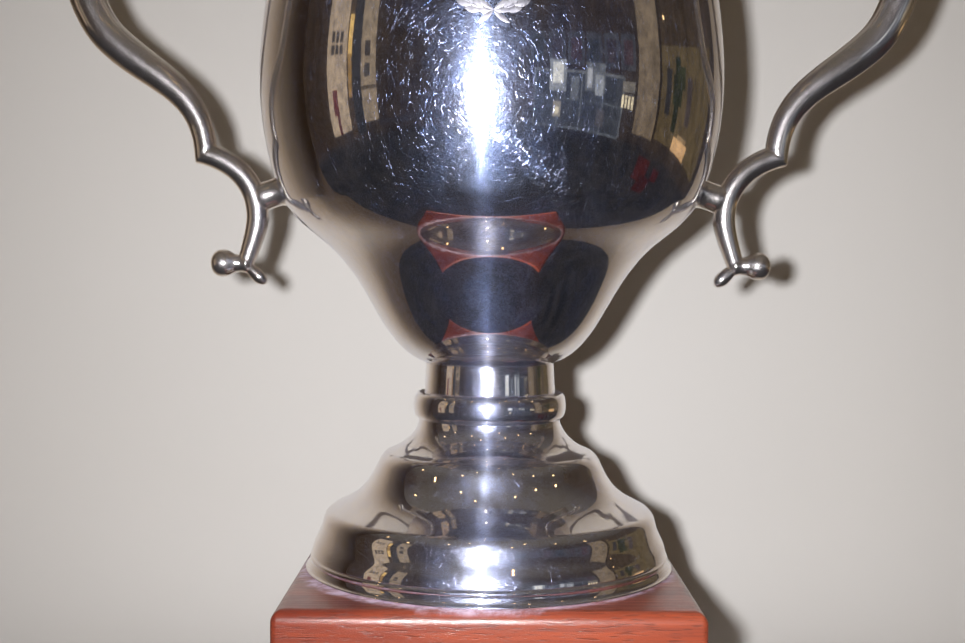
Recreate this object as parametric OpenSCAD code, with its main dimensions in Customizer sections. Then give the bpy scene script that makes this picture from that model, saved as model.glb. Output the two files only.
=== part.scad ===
// Two-handled presentation cup on a square hollow plinth.
// Millimetres, +Z up. The origin is the centre of the plinth's underside.
// The handles lie along X and the front faces -Y.

/* [Plinth] */
// Width and depth of the square plinth
plinth_w = 181; // [170:1:220]
// Height of the plinth, from the underside to the top of its board
plinth_h = 96; // [88:1:130]
// Thickness of the top board
board_t = 22; // [18:1:26]
// Round-over radius along the board's upper edge
board_edge_r = 5.5; // [2:0.5:8]
// Radius of the board's upright corners
board_corner_r = 3; // [1:0.5:6]
// How far the side panels stand in from the board's edge
panel_inset = 8; // [6:1:12]
// Thickness of the side panels
panel_t = 12; // [9:1:16]
// Height of the skirting moulding
skirting_h = 26; // [18:1:32]
// Thickness of the baize strips under the panels
baize_t = 1.5; // [1:0.5:3]

/* [Nameplate] */
// Length of the blank nameplate on the front panel
nameplate_w = 76; // [50:1:110]
// Height of the nameplate
nameplate_h = 26; // [16:1:32]

/* [Cup] */
// Wall of the raised and spun shells
shell_t = 1.2; // [0.9:0.1:1.6]
// Thickness of the rolled wire on the bowl's lip
rim_wire_d = 4.8; // [4:0.2:6]
// Diameter of the tie rod that holds the cup together
rod_d = 8; // [6:1:8]

/* [Quality] */
// Straight steps along each curve of a turned outline
outline_steps = 8; // [4:1:16]
// Rings along each curve of a handle tube
tube_steps = 9; // [6:1:14]
// Sides around a handle tube
tube_sides = 18; // [12:2:24]

/* [Hidden] */
$fn = 96;

// A curve is a list of knots: [across, along, heading in degrees, reach back, reach ahead].
// Turned outlines hold [radius, height], handle paths [distance from the axis, height].
// Heights are measured from the top of the plinth board.

// Bowl: underside, hollow flank, shoulder, widest place, neck, lip
bowl_bottom_z = 96.9;
bowl_curve = [
  [31.0, bowl_bottom_z, 21, 0, 16],
  [60.4, 131.7, 58.6, 16, 30],
  [96.7, 171.1, 54, 22, 3],
  [108.4, 228.6, 90, 32, 33],
  [99.0, 318, 90, 25, 13],
  [108.6, 351, 62, 14, 0]
];
lip_r = bowl_curve[5][0];
lip_z = bowl_curve[5][1];

// Foot: neck, upper shoulder, flare, lower shoulder, upright band
foot_top_z = 70;
flange_h = 7.5;
foot_curve = [
  [33.5, foot_top_z, -86, 0, 5],
  [48.0, 54.8, -19, 9, 1],
  [53.3, 48.6, -66, 5, 12],
  [74.5, 28.0, -25, 13, 1],
  [79.2, 21.5, -78, 5, 7],
  [84.1, flange_h, -83, 6, 0]
];
foot_band_r = foot_curve[5][0];
foot_r = 87;

// Bead between the foot and the collar
bead_top_z = 82.9;
bead_curve = [
  [33.1, bead_top_z, 0, 0, 2],
  [36.3, 76.6, -90, 3.6, 3.4],
  [33.4, foot_top_z, -160, 2.5, 0]
];
bead_bore_r = 27;
collar_r_low = 31.1;
collar_r_high = 30.4;
collar_bore_r = 27.5;

// Handle: the upper scroll leaves a mitre, swells, loops over and returns to the neck
mitre = [135.3, 195];
upper_heading = 86.2;
lower_heading = 195.7;
upper_curve = [
  [mitre[0], mitre[1], upper_heading, 0, 32],
  [180.7, 249.8, 45, 28, 14],
  [197.0, 298.5, 90, 17, 24],
  [160.0, 345.0, 180, 22, 19],
  [104.5, 325.0, 204, 17, 0]
];
upper_radii = [5.5, 8.1, 8.4, 7.4, 6.0];
upper_end_heading = upper_curve[4][2];
// The lower scroll curls in past the strut to the elbow that carries the drop and the leaf
elbow = [116.9, 143.2];
elbow_heading = -69.5;
lower_curve = [
  [mitre[0], mitre[1], lower_heading, 0, 15],
  [110.9, 165.1, -90, 16, 5],
  [elbow[0], elbow[1], elbow_heading, 7, 0]
];
lower_radii = [5.5, 5.3, 4.2];
drop_root_r = 4.2;
// Both start inside the elbow and are cut back to it
drop_root = -4;
drop_curve = [
  [drop_root_r, drop_root, 90, 0, 5],
  [6.5, 10.6, 90, 5, 3.4],
  [0, 16.2, 180, 3.8, 0]
];
leaf_heading = 224;
leaf_curve = [
  [2.6, 0, 90, 0, 3],
  [3.2, 8.6, 90, 3, 2.4],
  [0, 13.8, 180, 1.7, 0]
];
elbow_reach = 16;
strut_r = 7;
strut_at_scroll = [112, 173.6];
strut_at_bowl = [94, 179.7];
// The strut is hollowed to sit on the lower scroll, whose back is nearly straight there
scroll_back = [110.6, 160];
scroll_back_heading = 85;
scroll_back_r = 5.6;
scroll_back_length = 40;
strut_end_x = 115.5;
// Seat of the upper end: a step, a flare and a plain rim, as [radius, height]
mount_r = 11;
mount_outline = [[0, 0], [6, 0], [6.6, 1], [mount_r - 1, 3], [mount_r, 4], [mount_r, 14], [0, 14]];
mitre_cut = (upper_heading + lower_heading) / 2;
elbow_cut = (elbow_heading + 180) / 2;

board_under_z = -board_t;
clear_fit = 0.05;
rod_r = rod_d / 2;
rod_bore_r = rod_r + clear_fit;
nut_r = rod_d * 0.92;
nut_h = rod_d * 0.8;
washer_r = rod_d * 1.5;
washer_t = 2;
foot_plate_t = 1.6;
boss_r = 24;
boss_h = 12;
rod_low_z = board_under_z - washer_t - nut_h - 6;
rod_high_z = bowl_bottom_z - 1;

panel_low_z = baize_t;
panel_high_z = plinth_h - board_t;
panel_outer = plinth_w / 2 - panel_inset;
panel_inner = panel_outer - panel_t;
block_w = 20;
block_h = 32;
screw_d = 4;
screw_head_d = 8;
screw_head_h = 2.6;
screw_into_board = 12;
screw_at = panel_inner - block_w / 2;
nameplate_t = 0.8;
nameplate_z = (skirting_h + panel_low_z + panel_high_z) / 2;
pin_from_end = 6;
pin_at = nameplate_w / 2 - pin_from_end;
pin_d = 1.6;
pin_head_d = 3;
pin_depth = 7;
overrun = 1;

// ---- curves ------------------------------------------------------------

function heading(angle) = [cos(angle), sin(angle)];
function on_bezier(a, b, c, d, t) =
  pow(1 - t, 3) * a + 3 * t * pow(1 - t, 2) * b + 3 * t * t * (1 - t) * c + pow(t, 3) * d;
function between(from, to, t) =
  let (start = [from[0], from[1]], end = [to[0], to[1]])
  on_bezier(start, start + from[4] * heading(from[2]), end - to[3] * heading(to[2]), end, t);
function curve_at(knots, u) =
  let (i = min(floor(u), len(knots) - 2))
  between(knots[i], knots[i + 1], u - i);
function curve(knots, steps) =
  [for (i = [0 : (len(knots) - 1) * steps]) curve_at(knots, i / steps)];
function direction(knots, u) =
  let (e = 0.01, a = curve_at(knots, max(u - e, 0)), b = curve_at(knots, min(u + e, len(knots) - 1)))
  (b - a) / norm(b - a);
// The same outline moved sideways by d, to the left of its run
function beside(knots, steps, d) =
  [for (i = [0 : (len(knots) - 1) * steps])
    let (p = curve_at(knots, i / steps), t = direction(knots, i / steps))
    [p[0] - t[1] * d, p[1] + t[0] * d]];
function reversed(points) = [for (i = [len(points) - 1 : -1 : 0]) points[i]];
function smooth(t) = t * t * (3 - 2 * t);
function radius_at(radii, u) =
  let (i = min(floor(u), len(radii) - 2))
  radii[i] + (radii[i + 1] - radii[i]) * smooth(u - i);

// ---- shared shapes -----------------------------------------------------

// Tube along a flat path in the XZ plane. A ring is square to the path,
// except at an end whose cut is given by the heading of its mitre plane.
module tube(knots, radii, steps, sides, start_cut, end_cut) {
  last = (len(knots) - 1) * steps;
  rings = [for (i = [0 : last])
    let (
      u = i / steps,
      centre = curve_at(knots, u),
      ahead = i == 0 ? heading(knots[0][2])
        : i == last ? heading(knots[len(knots) - 1][2]) : direction(knots, u),
      aside = [-ahead[1], ahead[0]],
      slant = i == 0 ? 1 / tan(start_cut - knots[0][2])
        : i == last ? 1 / tan(end_cut - knots[len(knots) - 1][2]) : 0,
      r = radius_at(radii, u)
    )
    [for (j = [0 : sides - 1])
      let (w = r * cos(360 * j / sides), p = centre + w * (aside + slant * ahead))
      [p[0], r * sin(360 * j / sides), p[1]]]];
  faces = concat(
    [[for (j = [0 : sides - 1]) j]],
    [for (i = [0 : last - 1]) for (j = [0 : sides - 1])
      [i * sides + j, (i + 1) * sides + j, i * sides + (j + 1) % sides]],
    [for (i = [0 : last - 1]) for (j = [0 : sides - 1])
      [(i + 1) * sides + j, (i + 1) * sides + (j + 1) % sides, i * sides + (j + 1) % sides]],
    [[for (j = [sides - 1 : -1 : 0]) last * sides + j]]
  );
  polyhedron(points = [for (ring = rings) for (p = ring) p], faces = faces, convexity = 8);
}

// Turned solid standing on its own axis
module turned(points) {
  rotate_extrude() polygon(points);
}

// Puts the children's +Z along a heading in the XZ plane, starting at a point
module along(start, angle) {
  translate([start[0], 0, start[1]]) rotate([0, 90 - angle, 0]) children();
}

// Everything of the cup is drawn from the top of the board
module on_board() {
  translate([0, 0, plinth_h]) children();
}

module to_side(side) {
  if (side < 0) mirror([1, 0, 0]) children();
  else children();
}

module hex_nut(z) {
  translate([0, 0, z]) difference() {
    cylinder(r = nut_r, h = nut_h, $fn = 6);
    translate([0, 0, -overrun]) cylinder(r = rod_bore_r, h = nut_h + 2 * overrun);
  }
}

module washer(z) {
  translate([0, 0, z]) difference() {
    cylinder(r = washer_r, h = washer_t);
    translate([0, 0, -overrun]) cylinder(r = rod_bore_r, h = washer_t + 2 * overrun);
  }
}

module rod_bore(low, high) {
  translate([0, 0, low - overrun]) cylinder(r = rod_bore_r, h = high - low + 2 * overrun);
}

// The bowl as a filled body, for cutting what is soldered to it
module bowl_body() {
  turned(concat([[0, bowl_bottom_z]], curve(bowl_curve, outline_steps), [[0, lip_z]]));
}

// ---- plinth ------------------------------------------------------------

module four_corners(distance) {
  for (x = [-1, 1], y = [-1, 1]) translate([x * distance, y * distance, 0]) children();
}

module round_square(w, r) {
  square([w - 2 * r, w], center = true);
  square([w, w - 2 * r], center = true);
  four_corners(w / 2 - r) circle(r);
}

// Side view of the board: flat below, rounded along the upper edge
module board_outline() {
  r = board_edge_r;
  translate([-plinth_w / 2, 0]) square([plinth_w, board_t - r]);
  translate([-plinth_w / 2 + r, 0]) square([plinth_w - 2 * r, board_t]);
  for (x = [-1, 1]) translate([x * (plinth_w / 2 - r), board_t - r]) circle(r);
}

module board_bar() {
  rotate([90, 0, 0]) linear_extrude(plinth_w + 2 * overrun, center = true) board_outline();
}

module plinth_board() {
  color("saddlebrown") translate([0, 0, panel_high_z]) difference() {
    intersection() {
      linear_extrude(board_t) round_square(plinth_w, board_corner_r);
      board_bar();
      rotate([0, 0, 90]) board_bar();
    }
    rod_bore(0, board_t);
    four_corners(screw_at) translate([0, 0, -overrun])
      cylinder(d = screw_d + 2 * clear_fit, h = screw_into_board + overrun);
  }
}

// A mitred board lying along X behind the line y = -outer
module mitred(outer, inner, h) {
  linear_extrude(h)
    polygon([[-outer, -outer], [outer, -outer], [inner, -inner], [-inner, -inner]]);
}

module panel() {
  translate([0, 0, panel_low_z]) mitred(panel_outer, panel_inner, panel_high_z - panel_low_z);
}

module panel_front() {
  color("saddlebrown") difference() {
    panel();
    nameplate_holes();
  }
}
module panel_right() { color("saddlebrown") rotate([0, 0, 90]) panel(); }
module panel_back() { color("saddlebrown") rotate([0, 0, 180]) panel(); }
module panel_left() { color("saddlebrown") rotate([0, 0, 270]) panel(); }

// Section of the skirting, from the panel's face outwards: fascia, bead, cove
module skirting_section() {
  fascia_h = skirting_h * 0.55;
  bead_r = 2;
  top_w = 2;
  cove_r = panel_inset - top_w - bead_r;
  square([panel_inset, fascia_h]);
  square([panel_inset - bead_r, fascia_h + 2 * bead_r]);
  translate([panel_inset - bead_r, fascia_h + bead_r]) circle(bead_r, $fn = 32);
  difference() {
    square([top_w + cove_r, fascia_h + 2 * bead_r + cove_r]);
    translate([top_w + cove_r, fascia_h + 2 * bead_r + cove_r]) circle(cove_r, $fn = 48);
  }
  square([top_w, skirting_h]);
}

module skirting() {
  half = plinth_w / 2;
  translate([0, 0, panel_low_z]) intersection() {
    translate([-half, -panel_outer, 0]) rotate([90, 0, 90]) mirror([1, 0, 0])
      linear_extrude(plinth_w) skirting_section();
    mitred(half, panel_outer, skirting_h);
  }
}

module skirting_front() { color("sienna") skirting(); }
module skirting_right() { color("sienna") rotate([0, 0, 90]) skirting(); }
module skirting_back() { color("sienna") rotate([0, 0, 180]) skirting(); }
module skirting_left() { color("sienna") rotate([0, 0, 270]) skirting(); }

// Four felt strips, butted, under the panels and the skirting
module baize_strips() {
  edge = 2;
  outer = plinth_w / 2 - edge;
  strip_w = 16;
  color("darkgreen") for (turn = [0 : 3]) rotate([0, 0, 90 * turn])
    translate([-outer, -outer, 0]) cube([2 * outer - strip_w, strip_w, baize_t]);
}

module corner_blocks() {
  color("burlywood") translate([0, 0, panel_high_z - block_h]) difference() {
    four_corners(screw_at) translate([-block_w / 2, -block_w / 2, 0]) cube([block_w, block_w, block_h]);
    four_corners(screw_at) translate([0, 0, -overrun])
      cylinder(d = screw_d + 2 * clear_fit, h = block_h + 2 * overrun);
  }
}

module block_screws() {
  low = panel_high_z - block_h;
  color("goldenrod") four_corners(screw_at) {
    translate([0, 0, low - screw_head_h])
      cylinder(d1 = screw_head_d * 0.8, d2 = screw_head_d, h = screw_head_h);
    translate([0, 0, low]) cylinder(d = screw_d, h = block_h + screw_into_board - overrun);
  }
}

module nameplate() {
  color("silver") difference() {
    translate([-nameplate_w / 2, -panel_outer - nameplate_t, nameplate_z - nameplate_h / 2])
      cube([nameplate_w, nameplate_t, nameplate_h]);
    nameplate_holes();
  }
}

module nameplate_holes() {
  for (x = [-1, 1]) translate([x * pin_at, -panel_outer + pin_depth, nameplate_z]) rotate([90, 0, 0])
    cylinder(d = pin_d + 2 * clear_fit, h = pin_depth + nameplate_t + overrun);
}

module nameplate_pins() {
  head_h = 0.8;
  color("gainsboro") for (x = [-1, 1])
    translate([x * pin_at, -panel_outer - nameplate_t, nameplate_z]) rotate([90, 0, 0]) {
      cylinder(d = pin_head_d, h = head_h);
      translate([0, 0, -(pin_depth - 1)]) cylinder(d = pin_d, h = pin_depth - 1);
    }
}

// ---- foot and stem -----------------------------------------------------

// Rolled flange under the upright band: a ledge, a hollow and a thin edge
module foot_flange() {
  ledge_r = foot_band_r + 0.4;
  edge_h = 1.2;
  color("silver") on_board() turned([
    [foot_band_r - 3, 0], [foot_r, 0], [foot_r, edge_h - 0.4], [foot_r - 0.4, edge_h],
    [ledge_r + 0.9, edge_h + 1.4], [ledge_r + 0.2, 4.2], [ledge_r, flange_h - 0.5],
    [ledge_r - 0.5, flange_h], [foot_band_r - 3, flange_h]
  ]);
}

module foot_shell() {
  inner = beside(foot_curve, outline_steps, -shell_t);
  color("silver") on_board() difference() {
    turned(concat([[0, foot_top_z]], curve(foot_curve, outline_steps), [[0, flange_h]]));
    intersection() {
      turned(concat([[0, foot_top_z]], inner, [[foot_band_r - shell_t, -overrun], [0, -overrun]]));
      translate([0, 0, -overrun])
        cylinder(r = foot_r, h = foot_top_z - foot_plate_t + overrun);
    }
    rod_bore(foot_top_z - foot_plate_t, foot_top_z);
  }
}

module knop_bead() {
  color("silver") on_board() turned(concat(
    [[bead_bore_r, bead_top_z]], curve(bead_curve, outline_steps), [[bead_bore_r, foot_top_z]]
  ));
}

module stem_collar() {
  edge = 0.8;
  color("silver") on_board() turned([
    [collar_bore_r, bead_top_z], [collar_r_low, bead_top_z], [collar_r_high, bowl_bottom_z - edge],
    [collar_r_high - edge, bowl_bottom_z], [collar_bore_r, bowl_bottom_z]
  ]);
}

module bowl_boss() {
  color("darkgray") on_board() difference() {
    translate([0, 0, bowl_bottom_z - boss_h]) cylinder(r = boss_r, h = boss_h);
    translate([0, 0, bowl_bottom_z - boss_h - overrun]) cylinder(r = rod_bore_r, h = boss_h - 1 + overrun);
  }
}

module tie_rod() {
  color("dimgray") on_board() translate([0, 0, rod_low_z]) cylinder(r = rod_r, h = rod_high_z - rod_low_z);
}

module stem_washer() { color("gray") on_board() washer(foot_top_z - foot_plate_t - washer_t); }
module stem_nut() { color("gray") on_board() hex_nut(foot_top_z - foot_plate_t - washer_t - nut_h); }
module plinth_washer() { color("gray") on_board() washer(board_under_z - washer_t); }
module retaining_nut() { color("gray") on_board() hex_nut(board_under_z - washer_t - nut_h); }

// ---- bowl --------------------------------------------------------------

module bowl_shell() {
  inner = beside(bowl_curve, outline_steps, shell_t);
  color("silver") on_board() turned(concat(
    [[0, bowl_bottom_z]], curve(bowl_curve, outline_steps), reversed(inner),
    [[0, bowl_bottom_z + shell_t]]
  ));
}

// Rolled wire with a slot that the lip stands in
module bowl_rim_wire() {
  color("silver") on_board() rotate_extrude() difference() {
    translate([lip_r - shell_t / 2, lip_z + 1]) circle(d = rim_wire_d, $fn = 32);
    polygon(concat(curve([bowl_curve[4], bowl_curve[5]], outline_steps),
      reversed(beside([bowl_curve[4], bowl_curve[5]], outline_steps, shell_t))));
  }
}

// ---- handles -----------------------------------------------------------

module upper_scroll(side) {
  color("silver") on_board() to_side(side)
    tube(upper_curve, upper_radii, tube_steps, tube_sides, mitre_cut, upper_end_heading + 90);
}

module lower_scroll(side) {
  color("silver") on_board() to_side(side)
    tube(lower_curve, lower_radii, tube_steps, tube_sides, mitre_cut, elbow_cut);
}

// Egg-shaped drop that points away from the bowl, cut to the elbow's mitre plane
module drop(side) {
  cutter = 30;
  color("silver") on_board() to_side(side) difference() {
    along(elbow, 0) turned(concat([[0, drop_root]], curve(drop_curve, outline_steps)));
    along(elbow, elbow_cut) translate([-cutter, -cutter / 2, -cutter / 2]) cube(cutter);
  }
}

// Small leaf that points down and in from the elbow
module leaf(side) {
  tube_r = drop_root_r + 2 * clear_fit;
  reach = elbow_reach - drop_root;
  color("silver") on_board() to_side(side) difference() {
    along(elbow, leaf_heading) turned(concat([[0, 0]], curve(leaf_curve, outline_steps)));
    along(elbow, elbow_heading) translate([0, 0, -elbow_reach]) cylinder(r = tube_r, h = reach);
    along(elbow, 0) translate([0, 0, drop_root]) cylinder(r = tube_r, h = reach);
  }
}

// Short round strut between the bowl and the lower scroll
module strut(side) {
  run = strut_at_bowl - strut_at_scroll;
  cutter = 50;
  color("silver") on_board() to_side(side) difference() {
    along(strut_at_scroll, atan2(run[1], run[0])) cylinder(r = strut_r, h = norm(run));
    bowl_body();
    along(scroll_back, scroll_back_heading) cylinder(r = scroll_back_r, h = scroll_back_length);
    translate([strut_end_x, -cutter / 2, strut_at_scroll[1] - cutter / 2]) cube(cutter);
  }
}

// Flared seat between the handle's upper end and the bowl's neck
module mount(side) {
  tip = [upper_curve[4][0], upper_curve[4][1]];
  color("silver") on_board() to_side(side) difference() {
    along(tip, upper_end_heading) turned(mount_outline);
    bowl_body();
  }
}

baize_strips();
skirting_front();
skirting_back();
skirting_left();
skirting_right();
panel_front();
panel_back();
panel_left();
panel_right();
corner_blocks();
block_screws();
plinth_board();
nameplate();
nameplate_pins();
foot_flange();
foot_shell();
knop_bead();
stem_collar();
bowl_shell();
bowl_rim_wire();
bowl_boss();
tie_rod();
stem_washer();
stem_nut();
plinth_washer();
retaining_nut();
upper_scroll(-1);  // upper_scroll_left
lower_scroll(-1);  // lower_scroll_left
drop(-1);  // drop_left
leaf(-1);  // leaf_left
strut(-1);  // strut_left
mount(-1);  // mount_left
upper_scroll(1);  // upper_scroll_right
lower_scroll(1);  // lower_scroll_right
drop(1);  // drop_right
leaf(1);  // leaf_right
strut(1);  // strut_right
mount(1);  // mount_right
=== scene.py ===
"""Looks of the cup trophy: a hand-polished silver cup on a varnished mahogany plinth.

Everything is in metres, in the row frame: +Z up, the handles along X, the front towards -Y.
Outlines are written in millimetres above the top of the plinth board, as a workshop drawing would be.
"""

import math

import bmesh
import bpy
from mathutils import Matrix, Vector, noise


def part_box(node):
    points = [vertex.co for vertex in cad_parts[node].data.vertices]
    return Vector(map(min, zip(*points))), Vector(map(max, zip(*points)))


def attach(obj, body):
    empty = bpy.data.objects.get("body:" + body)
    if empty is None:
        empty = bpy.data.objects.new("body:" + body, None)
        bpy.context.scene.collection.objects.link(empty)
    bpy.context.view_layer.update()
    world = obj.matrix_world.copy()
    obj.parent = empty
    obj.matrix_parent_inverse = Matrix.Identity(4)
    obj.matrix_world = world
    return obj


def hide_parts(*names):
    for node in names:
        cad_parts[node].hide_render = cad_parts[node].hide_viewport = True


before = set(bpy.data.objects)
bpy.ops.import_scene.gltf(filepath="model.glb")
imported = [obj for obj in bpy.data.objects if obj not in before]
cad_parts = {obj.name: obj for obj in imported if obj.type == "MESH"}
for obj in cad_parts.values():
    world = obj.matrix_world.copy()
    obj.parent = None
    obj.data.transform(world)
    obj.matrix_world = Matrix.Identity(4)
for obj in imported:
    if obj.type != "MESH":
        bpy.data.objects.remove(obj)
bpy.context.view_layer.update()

MM = 0.001
BOARD_LOW, BOARD_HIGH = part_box("plinth_board")
BOARD_TOP = BOARD_HIGH.z
BODY = "root"


# ---- camera ------------------------------------------------------------

def add_camera():
    """The photograph's camera, about 61 cm ahead of the cup and 14 cm above the plinth."""
    data = bpy.data.cameras.new("camera")
    data.sensor_width = 36
    data.lens = 48.02
    data.clip_start = 0.01
    cam = bpy.data.objects.new("camera", data)
    pitch, yaw, roll = math.radians(2.21), math.radians(0.09), math.radians(0.35)
    turn = (
        Matrix.Rotation(yaw, 4, "Z")
        @ Matrix.Rotation(math.pi / 2 - pitch, 4, "X")
        @ Matrix.Rotation(roll, 4, "Z")
    )
    eye = Vector((-2.7 * MM, -613.9 * MM, BOARD_TOP + 139.8 * MM))
    cam.matrix_world = Matrix.Translation(eye) @ turn
    bpy.context.scene.collection.objects.link(cam)
    bpy.context.scene.camera = cam
    return cam


camera = add_camera()


# ---- node graphs -------------------------------------------------------

class Graph:
    """Short names for building a node tree."""

    def __init__(self, tree):
        self.tree = tree
        self.nodes = tree.nodes
        self.nodes.clear()

    def add(self, kind, **settings):
        node = self.nodes.new(kind)
        for key, value in settings.items():
            setattr(node, key, value)
        return node

    def set(self, socket, value):
        if isinstance(value, bpy.types.NodeSocket):
            self.tree.links.new(value, socket)
        else:
            socket.default_value = value

    def math(self, operation, *values, clamp=False):
        node = self.add("ShaderNodeMath", operation=operation, use_clamp=clamp)
        for socket, value in zip(node.inputs, values):
            self.set(socket, value)
        return node.outputs[0]

    def ramp(self, value, low, high, start=0.0, end=1.0, smooth=True):
        """Goes from start to end while the value goes from low to high."""
        node = self.add("ShaderNodeMapRange", clamp=True)
        node.interpolation_type = "SMOOTHSTEP" if smooth else "LINEAR"
        for socket, item in zip(node.inputs, (value, low, high, start, end)):
            self.set(socket, item)
        return node.outputs[0]

    def mix(self, share, first, second):
        node = self.add("ShaderNodeMix", data_type="RGBA")
        self.set(node.inputs[0], share)
        self.set(node.inputs[6], first)
        self.set(node.inputs[7], second)
        return node.outputs[2]

    def mix_value(self, share, first, second):
        node = self.add("ShaderNodeMix", data_type="FLOAT")
        for socket, item in zip((node.inputs[0], node.inputs[2], node.inputs[3]), (share, first, second)):
            self.set(socket, item)
        return node.outputs[0]

    def mapping(self, vector, scale=(1, 1, 1), turn=(0, 0, 0), move=(0, 0, 0)):
        node = self.add("ShaderNodeMapping")
        self.set(node.inputs["Vector"], vector)
        node.inputs["Scale"].default_value = scale
        node.inputs["Rotation"].default_value = [math.radians(a) for a in turn]
        node.inputs["Location"].default_value = move
        return node.outputs[0]

    def noise(self, vector, scale, detail=2.0, roughness=0.5, distortion=0.0):
        node = self.add("ShaderNodeTexNoise")
        self.set(node.inputs["Vector"], vector)
        node.inputs["Scale"].default_value = scale
        node.inputs["Detail"].default_value = detail
        node.inputs["Roughness"].default_value = roughness
        node.inputs["Distortion"].default_value = distortion
        return node.outputs[0]

    def place(self):
        return self.add("ShaderNodeTexCoord").outputs["Object"]

    def bump(self, height, distance, normal=None):
        node = self.add("ShaderNodeBump")
        node.inputs["Distance"].default_value = distance
        self.set(node.inputs["Height"], height)
        if normal is not None:
            self.set(node.inputs["Normal"], normal)
        return node.outputs[0]

    def principled(self, **values):
        node = self.add("ShaderNodeBsdfPrincipled")
        out = self.add("ShaderNodeOutputMaterial")
        self.tree.links.new(node.outputs[0], out.inputs[0])
        for name, value in values.items():
            self.set(node.inputs[name.replace("_", " ")], value)
        return node


def new_material(name):
    material = bpy.data.materials.new(name)
    material.use_nodes = True
    return material, Graph(material.node_tree)


# ---- materials ---------------------------------------------------------

SHEET_RADIUS = 0.1  # metres; the radius at which the bowl's surface is laid out flat


def scratch_layer(g, sheet, cell, width, seed, middle=90, spread=180):
    """Short straight scratches, one in each cell of a random mosaic.

    cell and width are in metres. The headings, in degrees, spread evenly about the middle one.
    Gives the cover of the scratches, their heading and a random number.
    """
    # each layer is turned and moved, so that the mosaics don't line up
    skew = 37 * seed
    spot = g.mapping(sheet, scale=(1 / cell, 1 / cell, 1), turn=(0, 0, skew), move=(seed, 3 * seed, 0))
    mosaic = g.add("ShaderNodeTexVoronoi", voronoi_dimensions="2D", feature="F1")
    g.set(mosaic.inputs["Vector"], spot)
    mosaic.inputs["Scale"].default_value = 1.0
    chance = g.add("ShaderNodeSeparateColor")
    g.set(chance.inputs[0], mosaic.outputs["Color"])
    lowest = math.radians(middle - spread / 2 + skew)
    heading_here = g.math("ADD", lowest, g.math("MULTIPLY", chance.outputs[0], math.radians(spread)))
    offset = g.add("ShaderNodeVectorMath", operation="SUBTRACT")
    g.set(offset.inputs[0], spot)
    g.set(offset.inputs[1], mosaic.outputs["Position"])
    local = g.add("ShaderNodeSeparateXYZ")
    g.set(local.inputs[0], offset.outputs[0])
    across = g.math(
        "SUBTRACT", g.math("MULTIPLY", local.outputs[1], g.math("COSINE", heading_here)),
        g.math("MULTIPLY", local.outputs[0], g.math("SINE", heading_here)),
    )
    half = width / cell / 2
    cover = g.ramp(g.math("ABSOLUTE", across), 0.7 * half, 1.3 * half, 1.0, 0.0, smooth=False)
    turned_back = g.math("SUBTRACT", heading_here, math.radians(skew))
    return cover, turned_back, chance.outputs[1]


def unrolled(g, place, radius):
    """The surface of a turned piece laid flat, with the way round across and the height up."""
    axis = g.add("ShaderNodeSeparateXYZ")
    g.set(axis.inputs[0], place)
    round_way = g.math("MULTIPLY", g.math("ARCTAN2", axis.outputs[1], axis.outputs[0]), radius)
    sheet = g.add("ShaderNodeCombineXYZ")
    g.set(sheet.inputs[0], round_way)
    g.set(sheet.inputs[1], axis.outputs[2])
    return sheet.outputs[0]


# streaks of rougher wiping on the bowl: start (distance round, height) in metres, heading in degrees,
# length, half width at the start and what it gains per metre
STREAKS = (
    ((-0.0050, 0.198), -35, 0.072, 0.0014, 0.095),
    ((-0.013, 0.225), 141, 0.036, 0.0012, 0.07),
)


def wiped_streak(g, sheet, start, way, length, half, growth):
    """A comet-shaped streak across the front of the bowl, broad at its far end."""
    turned_sheet = g.mapping(sheet, turn=(0, 0, -way))
    local = g.add("ShaderNodeSeparateXYZ")
    g.set(local.inputs[0], turned_sheet)
    # the front is a quarter turn before the sheet's middle
    from_front, height = start
    at = Vector((from_front - math.pi / 2 * SHEET_RADIUS, height + BOARD_TOP))
    at = Matrix.Rotation(math.radians(-way), 2) @ at
    ahead = g.math("SUBTRACT", local.outputs[0], at.x)
    aside = g.math("ABSOLUTE", g.math("SUBTRACT", local.outputs[1], at.y))
    width = g.math("ADD", half, g.math("MULTIPLY", ahead, growth))
    across = g.ramp(g.math("DIVIDE", aside, width), 0.1, 1.7, 1.0, 0.0)
    fade_in = g.ramp(ahead, 0.0, 0.010)
    fade_out = g.ramp(ahead, 0.35 * length, 1.1 * length, 1.0, 0.0)
    return g.math("MULTIPLY", across, g.math("MULTIPLY", fade_in, fade_out))


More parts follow.
